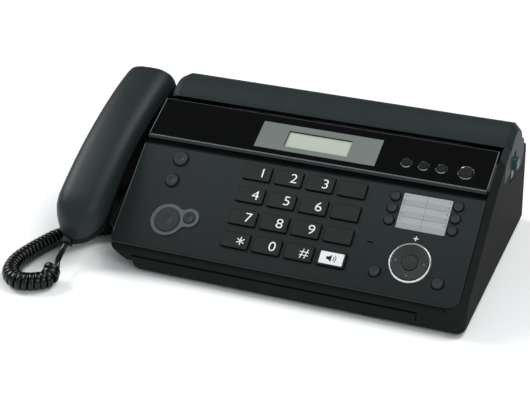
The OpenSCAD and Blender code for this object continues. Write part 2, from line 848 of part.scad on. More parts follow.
module start_key_surround() {
    start = ROUND_KEYS[2];
    copy = ROUND_KEYS[3];
    color([0.42, 0.44, 0.44]) panel_frame() difference() {
        bar([start[1], start[2]], 0, 0.9)
            waisted([copy[1] - start[1], copy[2] - start[2]], start[3] + 3.6, copy[3] + 3.4);
        round_hole(start, key_gap, -1, 2);
        round_hole(copy, key_gap, -1, 2);
    }
}

module navigator_trim() {
    color([0.85, 0.86, 0.87]) panel_frame() translate([nav[0], nav[1], 0])
        rotate_extrude() polygon([
            [nav_r + key_gap, 0], [nav_trim_r, 0], [nav_trim_r, 0.5], [nav_trim_r - 0.7, 1.3],
            [nav_r + key_gap + 0.4, 1.3], [nav_r + key_gap, 0.9]
        ]);
}

// ---------------------------------------------------------------- keys

module stem(at, h0) {
    bar(at, stem_end + key_travel, h0) circle(1.6);
}

module dial_key(k) {
    color([0.18, 0.19, 0.19]) panel_frame() {
        bar([k[1], k[2]], flange_h, key_proud) pad(key_w, key_l, 1);
        bar([k[1], k[2]], flange_h - flange_t, flange_h) pad(key_w + 1.6, key_l + 1.6, 1);
        stem([k[1], k[2]], flange_h - flange_t);
    }
}

// Round key with a shallow dish in its face
module round_key(k, proud) {
    dish_r = k[3] * 2.6;
    dish = 0.35;
    difference() {
        translate([k[1], k[2], 0]) rotate_extrude() polygon([
            [0, stem_end + key_travel], [1.6, stem_end + key_travel],
            [1.6, flange_h - flange_t], [k[3] + 0.8, flange_h - flange_t],
            [k[3] + 0.8, flange_h], [k[3], flange_h], [k[3], proud - 0.5],
            [k[3] - 0.5, proud], [0, proud]
        ]);
        translate([k[1], k[2], proud - dish + dish_r]) sphere(r = dish_r, $fn = 64);
    }
}

module panel_key(k) {
    color([0.2, 0.21, 0.21]) panel_frame() round_key(k, key_proud);
}

module display_key(k) {
    color([0.1, 0.1, 0.1]) display_frame() translate([k[1], k[2], 0]) {
        translate([0, 0, ledge_h - 0.1]) cylinder(h = 1.2 - ledge_h + 0.1, r = k[3]);
        translate([0, 0, ledge_h - 1]) cylinder(h = 0.9, r = k[3] + 1);
    }
}

module navigator_ring() {
    color([0.2, 0.21, 0.21]) panel_frame() translate([nav[0], nav[1], 0]) rotate_extrude()
        polygon([
            [set_r + key_gap, flange_h - flange_t], [nav_r + 0.9, flange_h - flange_t],
            [nav_r + 0.9, flange_h], [nav_r, flange_h], [nav_r, 1.1], [nav_r - 0.5, 1.6],
            [set_r + 1.2, 1.1], [set_r + key_gap, 0.7]
        ]);
}

module set_button() {
    low = flange_h - flange_t - key_travel - 0.2;
    color([0.22, 0.23, 0.23]) panel_frame() translate([nav[0], nav[1], 0]) rotate_extrude()
        polygon([
            [0, low - 0.8], [set_r + 1.4, low - 0.8], [set_r + 1.4, low], [set_r, low],
            [set_r, 1], [set_r - 0.5, 1.5], [0, 1.9]
        ]);
}

// ---------------------------------------------------------------- top cover

module top_cover() {
    color([0.17, 0.18, 0.18]) difference() {
        union() {
            intersection() {
                difference() {
                    barrel_solid(cover_left, right_x, 0, cover_r);
                    barrel_solid(cover_left + cover_t, wall_in, cover_t, cover_r - cover_t);
                }
                along_x(cover_left - 1, right_x + 1) barrel_zone();
            }
            difference() {
                along_x(wall_in, right_x) cheek_outline();
                wall_chamfer();
                difference() {
                    along_x(wall_in - 1, right_x + 1)
                        translate([cover_front + 0.5, 60]) square([80, 80]);
                    barrel_solid(cover_left, right_x, 0, cover_r);
                    rod(wall_in - 2, right_x + 2, hinge, cheek_r);
                }
            }
            along_x(cover_left, tray_left) intersection() {
                cheek_outline();
                union() {
                    translate(barrel) circle(cover_r - 11.4);
                    translate(hinge) circle(cheek_r);
                }
            }
            along_x(cover_left + 3, wall_in + 0.5) difference() {
                intersection() {
                    translate(hinge) circle(cheek_r);
                    rear_arc_zone();
                }
                translate(hinge) circle(cheek_r - cover_t);
            }
            rod(tray_left - 1, tray_left + 6.6, hinge, hinge_r);
            rod(wall_in - 6.6, wall_in + 1, hinge, hinge_r);
        }
        lever_recess();
        rod(wall_in - 1, right_x, lever_pivot, 2 + fit);
    }
}

// Where the cover curls down round its hinge to the rear wall
module rear_arc_zone() {
    polygon([for (a = [-1, 8, 35, 62]) hinge + (a < 0 ? 0 : 2 * cheek_r) * [cos(a), sin(a)]]);
}

// The part of the barrel that the cover keeps
module barrel_zone() {
    reach = cover_r + 6;
    polygon(concat([barrel], [for (a = [cover_rear_a:10:cover_edge_a]) barrel
        + reach * [cos(a), sin(a)]], [barrel + reach * [cos(cover_edge_a), sin(cover_edge_a)]]));
}

// Barrel about the cover's axis with drawn-in ends
module barrel_solid(x0, x1, inset, r) {
    translate([0, front_y + barrel[0], barrel[1]]) rotate([0, 90, 0]) rotate_extrude($fn = 96)
        polygon([
            [0, x0], [r - 11, x0], [r - 3.4, x0 + 4.2], [r, x0 + 10.5],
            [r, wall_in], [inset > 0 ? r : r - chamfer, x1], [0, x1]
        ]);
}

module cover_lever() {
    tab = [barrel[0] - 10.2, barrel[0] - 0.5];
    color([0.1, 0.26, 0.26]) {
        translate([right_x - 2.7, front_y + tab[0], 70]) cube([2.4, tab[1] - tab[0], 18.7]);
        along_x(right_x - 2.7, right_x - 0.9) polygon([
            [tab[0] + 1, 88], [tab[1] - 1, 88], lever_pivot + [2.8, 0.5], lever_pivot + [-2.8, 0.5]
        ]);
        rod(wall_in - 2, right_x - 1, lever_pivot, 2);
        along_x(wall_in - 4, wall_in - 1.5) polygon([
            lever_pivot + [-3, 3], lever_pivot + [3, 3], lever_pivot + [2, -10],
            lever_pivot + [-4, -12], lever_pivot + [-4, -9], lever_pivot + [-1, -7]
        ]);
    }
}

// ---------------------------------------------------------------- rollers

// Gear along X from x0, about a point of the side view, with a tooth at angle a
module gear(x0, c, teeth, a) {
    m = gear_module;
    r = m * teeth / 2;
    step = 360 / teeth;
    play = 0.2 / r * 57.3;
    along_x(x0, x0 + gear_w) translate(c) rotate(a) polygon([
        for (i = [0:teeth - 1]) for (p = [
            [r - 1.15 * m, -step * 0.33], [r, -step * 0.25 + play],
            [r + 0.85 * m, -step * 0.12 + play / 2], [r + 0.85 * m, step * 0.12 - play / 2],
            [r, step * 0.25 - play], [r - 1.15 * m, step * 0.33]
        ]) p[0] * [cos(i * step + p[1]), sin(i * step + p[1])]
    ]);
}

module roller(c, r, a) {
    color([0.13, 0.13, 0.13]) {
        rod(rib_left + rib_t + 1, rib_right - 1, c, r);
        rod(rib_left - 1, gear_x + gear_w, c, shaft_r);
        gear(gear_x, c, train_teeth, a);
    }
}

module platen_roller() {
    roller(platen, platen_r, train_a);
}

module feed_roller() {
    roller(feed, feed_r, train_a);
}

module motor_pinion() {
    color([0.8, 0.75, 0.6]) {
        gear(gear_x, pinion, train_teeth, train_a + 180 / train_teeth);
        rod(gear_x - 1.5, gear_x + gear_w + 6, pinion, 1.5);
    }
}

module drive_motor() {
    x0 = gear_x + gear_w + 1.5;
    color([0.6, 0.6, 0.6]) difference() {
        union() {
            rod(x0, motor_end - 1.5, pinion, 11);
            along_x(motor_end - 1.5, motor_end) translate(pinion) {
                circle(11);
                for (a = MOTOR_EARS) rotate(a) translate([6, -3]) square([6.5, 6]);
                for (a = MOTOR_EARS) rotate(a) translate([12.5, 0]) circle(3);
            }
        }
        rod(x0 - 1, x0 + 5, pinion, 1.5 + fit);
    }
}

module paper_roll() {
    color([0.93, 0.92, 0.9]) difference() {
        rod(roll_ends[0], roll_ends[1], roll, roll_r);
        rod(roll_ends[0] - 1, roll_ends[1] + 1, roll, core_r);
    }
}

module thermal_head() {
    color([0.55, 0.56, 0.57]) along_x(rib_left + rib_t, rib_right) {
        translate([platen[0] - platen_r - 3.8, platen[1] - 15]) square([3.4, 16.6]);
        translate([platen[0] - platen_r - 6.8, platen[1] - 15]) square([3, 6]);
    }
}

module image_sensor() {
    color([0.08, 0.08, 0.08]) panel_frame()
        translate([rib_left + 7.2, 54, -box_depth - 14])
            cube([rib_right - rib_left - 14.4, 12, 10.5]);
}

// ---------------------------------------------------------------- cord

// Point on the smooth curve through a route, u segments along it
function curve_point(route, u) = let(
    n = len(route) - 1, i = min(floor(u), n - 1), f = u - i,
    a = route[max(i - 1, 0)], b = route[i], c = route[i + 1], d = route[min(i + 2, n)]
) b + f * (c - a) / 2 + f * f * (a - 2.5 * b + 2 * c - d / 2)
    + f * f * f * (1.5 * b - 1.5 * c + d / 2 - a / 2);

module tube(route, d, sides, steps) {
    rings = (len(route) - 1) * steps;
    spine = [for (i = [0:rings]) curve_point(route, i / steps)];
    points = [for (i = [0:rings]) let(
        along = spine[min(i + 1, rings)] - spine[max(i - 1, 0)],
        t = along / norm(along), side = cross(t, [0, 0, 1]), q = side / norm(side),
        up = cross(q, t)
    ) for (j = [0:sides - 1]) spine[i] + d / 2 * (q * cos(360 * j / sides) + up * sin(360 * j / sides))];
    last = rings * sides;
    polyhedron(points = points, faces = concat(
        [[for (j = [sides - 1:-1:0]) j]], [[for (j = [0:sides - 1]) last + j]],
        [for (i = [0:rings - 1]) for (j = [0:sides - 1]) let(k = (j + 1) % sides)
            [i * sides + j, i * sides + k, (i + 1) * sides + k, (i + 1) * sides + j]]
    ), convexity = 8);
}

module cord_coil() {
    color([0.05, 0.05, 0.05]) tube(COIL_ROUTE, coil_d, 10, 3);
}

module cord_lead_handset() {
    color([0.05, 0.05, 0.05]) tube(HANDSET_LEAD_ROUTE, lead_d, 8, 3);
}

module cord_lead_body() {
    color([0.05, 0.05, 0.05]) tube(BODY_LEAD_ROUTE, lead_d, 8, 3);
    color([0.1, 0.1, 0.1]) intersection() {
        cord_jack(0, 12);
        translate([left_x, -50, 0]) cube(60);
    }
}

// ---------------------------------------------------------------- the parts

base_housing();
handset_cradle();
rear_jacks();
rubber_feet();
thermal_head();
image_sensor();
drive_motor();
front_cover();
display_window();
lcd_module();
start_key_surround();
navigator_trim();
panel_board();
navigator_ring();
set_button();
for (k = DIAL_KEYS) dial_key(k);
for (k = ROUND_KEYS) panel_key(k);
for (k = DISPLAY_KEYS) display_key(k);
top_cover();
cover_lever();
platen_roller();
feed_roller();
motor_pinion();
paper_roll();
handset_outer_shell();
handset_inner_shell();
handset_plug();
hook_switch();
cord_coil();
cord_lead_handset();
cord_lead_body();
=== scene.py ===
import math
import bpy
import bmesh
from mathutils import Matrix, Vector


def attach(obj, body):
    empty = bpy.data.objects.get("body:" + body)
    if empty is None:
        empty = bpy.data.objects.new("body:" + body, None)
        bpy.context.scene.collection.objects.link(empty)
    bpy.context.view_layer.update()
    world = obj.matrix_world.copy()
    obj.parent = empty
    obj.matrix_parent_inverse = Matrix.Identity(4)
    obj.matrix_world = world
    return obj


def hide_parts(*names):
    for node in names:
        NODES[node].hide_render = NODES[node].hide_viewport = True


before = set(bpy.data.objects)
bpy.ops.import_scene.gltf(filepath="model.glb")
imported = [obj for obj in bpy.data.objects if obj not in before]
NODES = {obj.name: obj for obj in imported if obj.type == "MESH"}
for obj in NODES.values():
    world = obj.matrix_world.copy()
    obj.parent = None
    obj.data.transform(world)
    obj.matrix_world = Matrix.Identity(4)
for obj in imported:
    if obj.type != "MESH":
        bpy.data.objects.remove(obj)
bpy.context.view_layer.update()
scene = bpy.context.scene
scene.view_settings.view_transform = "Standard"

# ---------------------------------------------------------------- frames of the faces

# Pieces are in millimetres, which these frames turn into metres; camera, edges of the
# carried-over nodes, stage and lights are in metres
MM = Matrix.Scale(0.001, 4)
FRONT_Y = -97.2
PANEL_Z = 24.2
PANEL_LEN = 94.6
PANEL_SLOPE = math.radians(37.15)
DISPLAY_SLOPE = math.radians(24.2)
DISPLAY_RUN = 6.2
DISPLAY_RISE = 5.7

# X across, Y up the slope and Z off the face
PANEL = MM @ Matrix.Translation((0, FRONT_Y, PANEL_Z)) @ Matrix.Rotation(PANEL_SLOPE, 4, "X")
DISPLAY = (MM @ Matrix.Translation((0, FRONT_Y + PANEL_LEN * math.cos(PANEL_SLOPE) + DISPLAY_RUN,
                                    PANEL_Z + PANEL_LEN * math.sin(PANEL_SLOPE) + DISPLAY_RISE))
           @ Matrix.Rotation(DISPLAY_SLOPE, 4, "X"))
# Turns a plan of (Y, Z) so that it faces along X
RIGHT_WALL = MM @ Matrix(((0, 0, 1, 0), (1, 0, 0, 0), (0, 1, 0, 0), (0, 0, 0, 1)))
# Lays a bar's profile flat, so that the bar is drawn upwards
UPRIGHT = Matrix(((0, 1, 0, 0), (0, 0, 1, 0), (1, 0, 0, 0), (0, 0, 0, 1)))


def box_in(name, space):
    """Lowest and highest corner of a node in a frame, in the frame's own units."""
    back = space.inverted()
    points = [back @ v.co for v in NODES[name].data.vertices]
    return tuple([pick(p[axis] for p in points) for axis in range(3)] for pick in (min, max))


def middle_in(name, space):
    """Middle of a node on the face of a frame."""
    low, high = box_in(name, space)
    return (low[0] + high[0]) / 2, (low[1] + high[1]) / 2


# ---------------------------------------------------------------- camera

CAMERA_AT = (0.3689, -0.9975, 0.6010)
CAMERA_AIM = (-0.32448, 0.82206, -0.46790)
CAMERA_ROLL = math.radians(-0.1064)

camera_data = bpy.data.cameras.new("camera")
camera_data.lens = 96.2
camera_data.sensor_width = 36
camera_data.clip_start = 0.05
camera = bpy.data.objects.new("camera", camera_data)
scene.collection.objects.link(camera)
camera.matrix_world = (Matrix.Translation(CAMERA_AT)
                       @ Vector(CAMERA_AIM).to_track_quat("-Z", "Y").to_matrix().to_4x4()
                       @ Matrix.Rotation(CAMERA_ROLL, 4, "Z"))
scene.camera = camera

# ---------------------------------------------------------------- materials

GRAIN_DEPTH = 0.0001


def material(name, color, rough, metal=0.0, spec=0.5, coat=0.0, coat_rough=0.1, grain=0.0,
             grain_scale=2600.0, vary=0.06, vary_scale=28.0, rough_vary=0.05, second=None,
             stretch=(1, 1, 1)):
    """Moulded surface: base colour with soft variation, grain in bump and roughness."""
    m = bpy.data.materials.new(name)
    m.use_nodes = True
    nt = m.node_tree
    bsdf = nt.nodes["Principled BSDF"]
    bsdf.inputs["Metallic"].default_value = metal
    bsdf.inputs["Specular IOR Level"].default_value = spec
    bsdf.inputs["Coat Weight"].default_value = coat
    bsdf.inputs["Coat Roughness"].default_value = coat_rough
    co = nt.nodes.new("ShaderNodeTexCoord")
    place = nt.nodes.new("ShaderNodeMapping")
    place.inputs["Scale"].default_value = stretch
    nt.links.new(co.outputs["Object"], place.inputs["Vector"])
    soft = nt.nodes.new("ShaderNodeTexNoise")
    soft.inputs["Scale"].default_value = vary_scale
    soft.inputs["Detail"].default_value = 4
    nt.links.new(place.outputs["Vector"], soft.inputs["Vector"])
    ramp = nt.nodes.new("ShaderNodeValToRGB")
    dark, light = ramp.color_ramp.elements
    dark.position = 0.3
    light.position = 0.7
    dark.color = (*[c * (1 - vary) for c in color], 1)
    light.color = (*[min(1, c * (1 + vary)) for c in second or color], 1)
    nt.links.new(soft.outputs["Fac"], ramp.inputs["Fac"])
    nt.links.new(ramp.outputs["Color"], bsdf.inputs["Base Color"])
    fine = nt.nodes.new("ShaderNodeTexNoise")
    fine.inputs["Scale"].default_value = grain_scale
    fine.inputs["Detail"].default_value = 2
    nt.links.new(place.outputs["Vector"], fine.inputs["Vector"])
    spread = nt.nodes.new("ShaderNodeMapRange")
    spread.inputs["To Min"].default_value = max(0.02, rough - rough_vary)
    spread.inputs["To Max"].default_value = min(1.0, rough + rough_vary)
    nt.links.new(fine.outputs["Fac"], spread.inputs["Value"])
    nt.links.new(spread.outputs["Result"], bsdf.inputs["Roughness"])
    if grain:
        bump = nt.nodes.new("ShaderNodeBump")
        bump.inputs["Strength"].default_value = grain
        bump.inputs["Distance"].default_value = GRAIN_DEPTH
        nt.links.new(fine.outputs["Fac"], bump.inputs["Height"])
        nt.links.new(bump.outputs["Normal"], bsdf.inputs["Normal"])
    return m


def srgb(*color):
    """Linear colour of a screen colour, whose parts run from 0 to 255."""
    return tuple(c / 255 / 12.92 if c <= 10 else ((c / 255 + 0.055) / 1.055) ** 2.4
                 for c in color)


PANEL_MAT = material("panel_plastic", srgb(17, 22, 23), 0.36, grain=0.15, spec=0.3)
BASE_MAT = material("base_plastic", srgb(29, 31, 29), 0.65, grain=0.3, spec=0.03)
COVER_MAT = material("cover_plastic", srgb(35, 42, 43), 0.5, grain=0.25, spec=0.12)
HANDSET_MAT = material("handset_plastic", srgb(29, 36, 37), 0.46, grain=0.3, spec=0.22)
INNER_MAT = material("handset_inner_plastic", srgb(14, 17, 17), 0.5, grain=0.3, spec=0.12)
CRADLE_MAT = material("cradle_plastic", srgb(7, 7, 7), 0.6, grain=0.5, spec=0.12)
BLACK_MAT = material("black_plastic", srgb(10, 10, 10), 0.5, grain=0.3, spec=0.2)
RUBBER_MAT = material("foot_rubber", srgb(18, 18, 18), 0.85, grain=0.6, spec=0.2)
KEY_MAT = material("dial_key_plastic", srgb(20, 23, 20), 0.42, grain=0.15, spec=0.28)
BUTTON_MAT = material("button_plastic", srgb(38, 42, 42), 0.44, grain=0.15, spec=0.22)
NAV_MAT = material("navigator_plastic", srgb(37, 39, 38), 0.36, grain=0.15, spec=0.35)
GLOSS_MAT = material("display_gloss", srgb(5, 5, 5), 0.1, spec=0.4, coat=0.25,
                     coat_rough=0.04, grain=0.02, grain_scale=300, rough_vary=0.03)
DISPLAY_KEY_MAT = material("display_button_gloss", srgb(14, 16, 16), 0.28, coat=0.2, grain=0.06)
LCD_MAT = material("lcd_glass", srgb(168, 174, 162), 0.35, spec=0.3, coat=0.2, grain=0.05,
                   grain_scale=1200, vary=0.03, vary_scale=60)
SILVER_MAT = material("silver_print", srgb(110, 117, 114), 0.42, metal=0.3, grain=0.25,
                      grain_scale=3800, vary=0.03)
SURROUND_MAT = material("surround_plastic", srgb(74, 79, 79), 0.4, metal=0.2, grain=0.2)
CHROME_MAT = material("trim_chrome", (0.86, 0.86, 0.85), 0.32, metal=1.0, grain=0.0,
                      rough_vary=0.02, vary=0.02)
RIM_MAT = material("button_rim", (0.34, 0.35, 0.35), 0.2, metal=1.0, grain=0.05,
                   grain_scale=500, vary=0.03)
# Painted highlight: light grey of the thin strips that stand for the light caught by edges of the
# panel and of the display slab
HIGHLIGHT_MAT = material("painted_edge_highlight", srgb(92, 98, 98), 0.3, spec=0.6, grain=0.05, vary=0.03)
LEVER_MAT = material("lever_plastic", srgb(24, 62, 62), 0.42, grain=0.3)
ROLLER_MAT = material("roller_rubber", srgb(24, 24, 24), 0.8, grain=0.6, spec=0.2)
GEAR_MAT = material("gear_plastic", srgb(180, 172, 150), 0.45, grain=0.2)
PAPER_MAT = material("paper", srgb(200, 198, 192), 0.9, grain=0.4, spec=0.2, vary=0.02)
HEAD_MAT = material("head_metal", (0.45, 0.45, 0.46), 0.35, metal=1.0, grain=0.2,
                    grain_scale=900, stretch=(1, 8, 8))
MOTOR_MAT = material("motor_steel", (0.4, 0.4, 0.39), 0.3, metal=1.0, grain=0.15)
BOARD_MAT = material("board", srgb(20, 66, 40), 0.45, grain=0.2, second=srgb(32, 88, 52),
                     vary_scale=500)
CORD_MAT = material("cord_plastic", srgb(5, 7, 7), 0.24, spec=0.3, grain=0.06,
                    grain_scale=1500)
WHITE_INK = material("white_ink", srgb(222, 226, 226), 0.5, grain=0.2, grain_scale=4000,
                     vary=0.02)
GREY_INK = material("grey_ink", srgb(84, 92, 96), 0.6, grain=0.2, vary=0.03)
SHADE_INK = material("card_shade", srgb(138, 141, 143), 0.6, grain=0.3, vary=0.03)
CARD_MAT = material("card_paper", srgb(147, 151, 153), 0.6, grain=0.3, grain_scale=1800,
                    vary=0.03, vary_scale=90)
LABEL_MAT = material("label_plate", srgb(214, 216, 219), 0.4, grain=0.15, vary=0.02)

BY_NODE = {
    "base_housing": BASE_MAT, "handset_cradle": CRADLE_MAT, "rear_jacks": BLACK_MAT,
    "rubber_feet": RUBBER_MAT, "thermal_head": HEAD_MAT, "image_sensor": BLACK_MAT,
    "drive_motor": MOTOR_MAT, "front_cover": PANEL_MAT, "display_window": GLOSS_MAT,
    "lcd_module": LCD_MAT, "start_key_surround": SURROUND_MAT, "navigator_trim": CHROME_MAT,
    "panel_board": BOARD_MAT, "navigator_ring": NAV_MAT, "set_button": BUTTON_MAT,
    "top_cover": COVER_MAT, "cover_lever": LEVER_MAT, "platen_roller": ROLLER_MAT,
    "feed_roller": ROLLER_MAT, "motor_pinion": GEAR_MAT, "paper_roll": PAPER_MAT,
    "handset_outer_shell": HANDSET_MAT, "handset_inner_shell": INNER_MAT,
    "handset_plug": BLACK_MAT, "hook_switch": BLACK_MAT, "cord_coil": CORD_MAT,
    "cord_lead_handset": CORD_MAT, "cord_lead_body": CORD_MAT,
}


def finish_of(name):
    """Material of a node: its own, or that of its kind of key."""
    if name in BY_NODE:
        return BY_NODE[name]
    if name.startswith("display_button") or name == "auto_answer_button":
        return DISPLAY_KEY_MAT
    if name.startswith("key_") or name.endswith("_key"):
        return KEY_MAT
    return BUTTON_MAT


for name, obj in NODES.items():
    obj.data.materials.clear()
    obj.data.materials.append(finish_of(name))

# ---------------------------------------------------------------- edges of the carried-over nodes

WELD = 0.000002
FLAT_ANGLE = math.radians(0.4)
BEVEL_ANGLE = math.radians(28)
TURNED_ANGLE = math.radians(35)
CASE_EDGE = 0.0003
HANDSET_EDGE = 0.0002


def smooth_faces(obj):
    for poly in obj.data.polygons:
        poly.use_smooth = True


def soften(obj, width):
    """Joins the triangles of a node's flat faces, then rounds its edges."""
    smooth_faces(obj)
    weld = obj.modifiers.new("weld", "WELD")
    weld.merge_threshold = WELD
    planes = obj.modifiers.new("planes", "DECIMATE")
    planes.decimate_type = "DISSOLVE"
    planes.angle_limit = FLAT_ANGLE
    bevel = obj.modifiers.new("bevel", "BEVEL")
    bevel.width = width
    bevel.segments = 2
    bevel.limit_method = "ANGLE"
    bevel.angle_limit = BEVEL_ANGLE
    bevel.use_clamp_overlap = True
    normals = obj.modifiers.new("normals", "WEIGHTED_NORMAL")
    normals.weight = 100
    normals.keep_sharp = False


def split(obj):
    """Smooths a turned node up to its real edges."""
    smooth_faces(obj)
    edges = obj.modifiers.new("edges", "EDGE_SPLIT")
    edges.split_angle = TURNED_ANGLE


for name, obj in NODES.items():
    if name.endswith("_button") or name.startswith(("one_touch", "display_button")):
        split(obj)
    elif name.startswith("handset_"):
        soften(obj, HANDSET_EDGE)
    elif not name.startswith("cord_"):
        soften(obj, CASE_EDGE)

# ---------------------------------------------------------------- makers of pieces

SHARP_ANGLE = 35
INK = 0.05


def piece(name, mesh, body, mat, smooth=SHARP_ANGLE):
    """Makes an object of a mesh in the row frame and lets it ride on a body."""
    obj = bpy.data.objects.new(name, mesh)
    scene.collection.objects.link(obj)
    mesh.materials.clear()
    mesh.materials.append(mat)
    mesh.shade_smooth()
    mesh.set_sharp_from_angle(angle=math.radians(smooth))
    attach(obj, body)
    return obj


def mesh_of(name, bm):
    """Turns a bmesh into a mesh, with its faces turned outwards."""
    bmesh.ops.recalc_face_normals(bm, faces=bm.faces)
    mesh = bpy.data.meshes.new(name)
    bm.to_mesh(mesh)
    return mesh


def skirt(bm, low, high):
    """Joins two rings, of the same number of points, by a wall."""
    for i in range(len(low)):
        k = (i + 1) % len(low)
        bm.faces.new((low[i], low[k], high[k], high[i]))


def circle(r, steps=48):
    """Points on a circle about the origin."""
    turns = [2 * math.pi * i / steps for i in range(steps)]
    return [(r * math.cos(a), r * math.sin(a)) for a in turns]


def rounded(w, l, r, steps=6):
    """Outline of a rectangle about the origin, with round corners."""
    points = []
    for cx, cy, start in ((w / 2 - r, l / 2 - r, 0), (r - w / 2, l / 2 - r, 90),
                          (r - w / 2, r - l / 2, 180), (w / 2 - r, r - l / 2, 270)):
        for i in range(steps + 1):
            a = math.radians(start + 90 * i / steps)
            points.append((cx + r * math.cos(a), cy + r * math.sin(a)))
    return points


def rectangle(x0, x1, y0, y1):
    """Outline of a rectangle between two sides and two ends."""
    return [(x1, y1), (x0, y1), (x0, y0), (x1, y0)]


def arc(r, w, half, steps=10):
    """Outline of a narrow arc on the right of the origin, to half an angle on either side."""
    turns = [math.radians(half * (2 * i / steps - 1)) for i in range(steps + 1)]
    return ([(r * math.cos(a), r * math.sin(a)) for a in turns]
            + [((r - w) * math.cos(a), (r - w) * math.sin(a)) for a in reversed(turns)])


def lathe(name, profile, at, space, body, mat, steps=64):
    """Turns a closed profile of (radius, height) points about a point of a frame."""
    bm = bmesh.new()
    rings = []
    for i in range(steps):
        a = 2 * math.pi * i / steps
        rings.append([bm.verts.new(space @ Vector((at[0] + r * math.cos(a),
                                                   at[1] + r * math.sin(a), h)))
                      for r, h in profile])
    for i in range(steps):
        skirt(bm, rings[i], rings[(i + 1) % steps])
    return piece(name, mesh_of(name, bm), body, mat)


def plate(name, outline, h0, h1, space, body, mat, at=(0, 0), hole=None, edge=0.12):
    """A thin plate with a bevelled upper edge, and a hole if one is given."""
    bm = bmesh.new()

    def ring(points, h, grow=0):
        cx = sum(p[0] for p in points) / len(points)
        cy = sum(p[1] for p in points) / len(points)
        out = []
        for x, y in points:
            d = math.hypot(x - cx, y - cy)
            s = (d + grow) / d
            out.append(bm.verts.new(space @ Vector((at[0] + cx + (x - cx) * s,
                                                    at[1] + cy + (y - cy) * s, h))))
        return out

    base, mid, top = ring(outline, h0), ring(outline, h1 - edge), ring(outline, h1, -edge)
    skirt(bm, base, mid)
    skirt(bm, mid, top)
    if hole:
        low, high = ring(hole, h0), ring(hole, h1)
        skirt(bm, high, low)
        skirt(bm, top, high)
        skirt(bm, low, base)
    else:
        bm.faces.new(top)
        bm.faces.new(list(reversed(base)))
    return piece(name, mesh_of(name, bm), body, mat)


def strip(name, x0, x1, y0, y1, h0, h1, space, body, mat, slot=None):
    """A thin flat bar between two sides and two ends."""
    return plate(name, rectangle(x0, x1, y0, y1), h0, h1, space, body, mat,
                 edge=min(INK, (h1 - h0) / 2))


def bar(name, profile, u0, u1, space, body, mat):
    """Draws a profile of (along the slope, height) points from one side to the other."""
    bm = bmesh.new()
    low = [bm.verts.new(space @ Vector((u0, w, h))) for w, h in profile]
    top = [bm.verts.new(space @ Vector((u1, w, h))) for w, h in profile]
    skirt(bm, low, top)
    bm.faces.new(list(reversed(low)))
    bm.faces.new(top)
    return piece(name, mesh_of(name, bm), body, mat)


def glyph(name, text, size, at, h, space, body, mat, bold=0.0, wide=1.0):
    """A printed sign: a flat text turned into a mesh of its own."""
    curve = bpy.data.curves.new(name, "FONT")
    curve.body = text
    curve.size = size
    curve.align_x = "CENTER"
    curve.align_y = "CENTER"
    curve.offset = bold
    curve.extrude = INK / 2
    curve.resolution_u = 6
    temp = bpy.data.objects.new(name + "_text", curve)
    scene.collection.objects.link(temp)
    bpy.context.view_layer.update()
    mesh = bpy.data.meshes.new_from_object(temp.evaluated_get(
        bpy.context.evaluated_depsgraph_get()))
    bpy.data.objects.remove(temp)
    bpy.data.curves.remove(curve)
    mesh.transform(space @ Matrix.Translation((at[0], at[1], h + INK / 2))
                   @ Matrix.Scale(wide, 4, (1, 0, 0)))
    return piece(name, mesh, body, mat)


def star(name, arm, w, at, h, space, body, mat):
    """A printed asterisk of six thin arms."""
    bm = bmesh.new()
    for i in range(3):
        turn = Matrix.Rotation(math.radians(60 * i + 30), 2)
        corners = (arm, -w / 2), (arm, w / 2), (-arm, w / 2), (-arm, -w / 2)
        ring = [turn @ Vector(p) for p in corners]
        low, top = ([bm.verts.new(space @ Vector((at[0] + x, at[1] + y, level)))
                     for x, y in ring] for level in (h, h + INK))
        bm.faces.new(top)
        skirt(bm, low, top)
    return piece(name, mesh_of(name, bm), body, mat)


# ---------------------------------------------------------------- handset cord

# Coil, which ends where its route passes COIL_END_Y and goes on as the handset's lead
COIL_R = 6.1
COIL_PITCH = 4.35
COIL_END_Y = -132
COIL_MARGIN = 1
TURN_STEPS = 20

# At either end the coil grows from a share of its radius, over some steps
FLARE_START = 0.3
FLARE_STEPS = 12

# Flat wire, squarer in section than an ellipse, whose width follows that of the step before
WIRE_W = 4.8
WIRE_T = 2.9
WIRE_SIDES = 14
WIRE_SQUARE = 0.75
WIRE_FOLLOW = 1.5

# Steps along the routes, and how far leads and coil are blended into each other
CURVE_STEPS = 40
AXIS_STEP = 0.25
LEAD_STRIDE = 9
LEAD_STEP = 2.2
BLEND_ON = range(14, 2, -1)
BLEND_BACK = 7

COIL_ROUTE = [
    (-139, -39), (-152, -50), (-164, -60), (-175, -71), (-183, -84), (-188, -99),
    (-192, -115), (-194, -131), (-190, -147), (-180, -156), (-168, -155), (-157, -146),
]
HANDSET_LEAD_ROUTE = [
    (-158, -145.5, 9), (-157.5, -138, 10.5), (-158, -128, 12.5), (-160, -117, 15),
    (-160, -107.4, 19.1),
]
BODY_LEAD_ROUTE = [
    (-139, -39, 8), (-135, -36, 9), (-132, -33, 15), (-130, -31, 21), (-125, -30, 24),
]


def run_of(points):
    """Length of a chain of points."""
    return sum((b - a).length for a, b in zip(points, points[1:]))


def smooth_path(route, step):
    """Points about step apart on the smooth curve through a route, and its length."""
    pts = [Vector(p) for p in route]
    fine = []
    for i in range(len(pts) - 1):
        a, b, c, d = pts[max(i - 1, 0)], pts[i], pts[i + 1], pts[min(i + 2, len(pts) - 1)]
        for k in range(CURVE_STEPS):
            f = k / CURVE_STEPS
            fine.append(b + f * (c - a) / 2 + f * f * (a - 2.5 * b + 2 * c - d / 2)
                        + f * f * f * (1.5 * b - 1.5 * c + d / 2 - a / 2))
    fine.append(pts[-1])
    total = run_of(fine)
    count = max(2, round(total / step))
    spacing = total / count
    out, run = [fine[0]], 0.0
    for a, b in zip(fine, fine[1:]):
        seg = (b - a).length
        while seg and run + seg >= spacing * len(out) - 1e-9 and len(out) < count:
            out.append(a.lerp(b, (spacing * len(out) - run) / seg))
        run += seg
    out.append(fine[-1])
    return out, total


